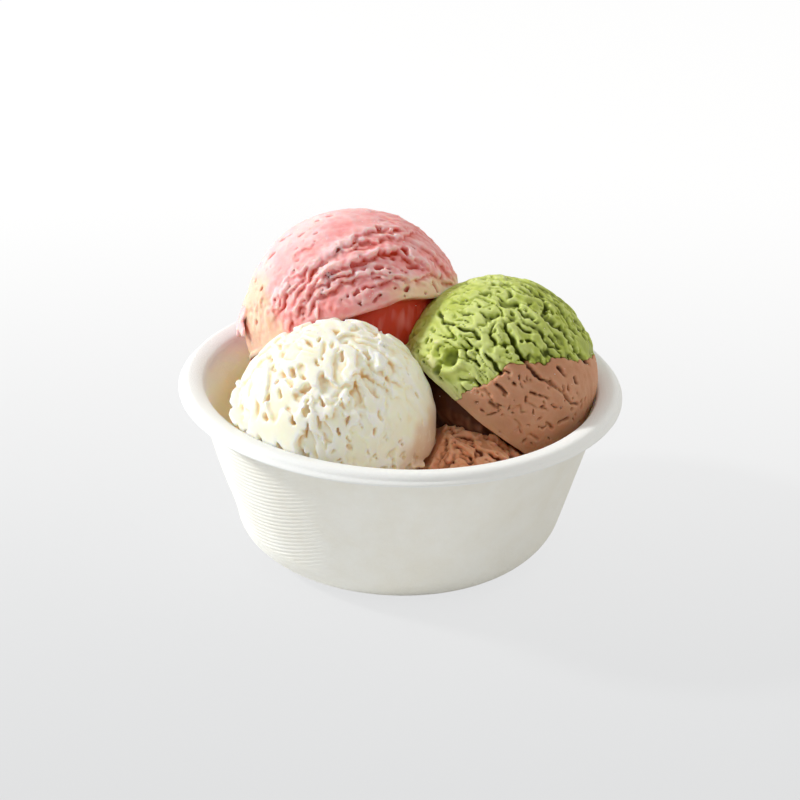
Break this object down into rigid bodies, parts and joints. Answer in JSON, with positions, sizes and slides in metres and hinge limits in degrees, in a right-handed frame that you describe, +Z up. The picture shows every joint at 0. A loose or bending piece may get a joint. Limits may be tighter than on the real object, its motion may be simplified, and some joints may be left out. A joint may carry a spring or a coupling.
{
  "type": "bowl of ice cream scoops",
  "caption": "Open round moulded-fibre bowl holding strawberry, vanilla, pistachio-and-chocolate and chocolate ice cream scoops.",
  "frame": {"origin": "middle of the bowl's flat base, on the surface it stands on", "axes": "+Z up out of the bowl; the side that faces the eater is -Y, the strawberry scoop is at the back left"},
  "size_m": [0.13, 0.13, 0.0939],
  "materials": {
    "bowl_fibre": "matte moulded plant fibre",
    "strawberry": "matte frozen cream",
    "vanilla": "matte frozen cream",
    "pistachio": "matte frozen cream",
    "cocoa": "matte frozen cream",
    "chocolate": "matte frozen cream"
  },
  "bodies": {
    "root": {"bowl": "bowl_fibre", "strawberry_scoop": "strawberry", "vanilla_scoop": "vanilla", "pistachio_half": "pistachio", "cocoa_half": "cocoa", "chocolate_scoop": "chocolate"}
  },
  "joints": []
}
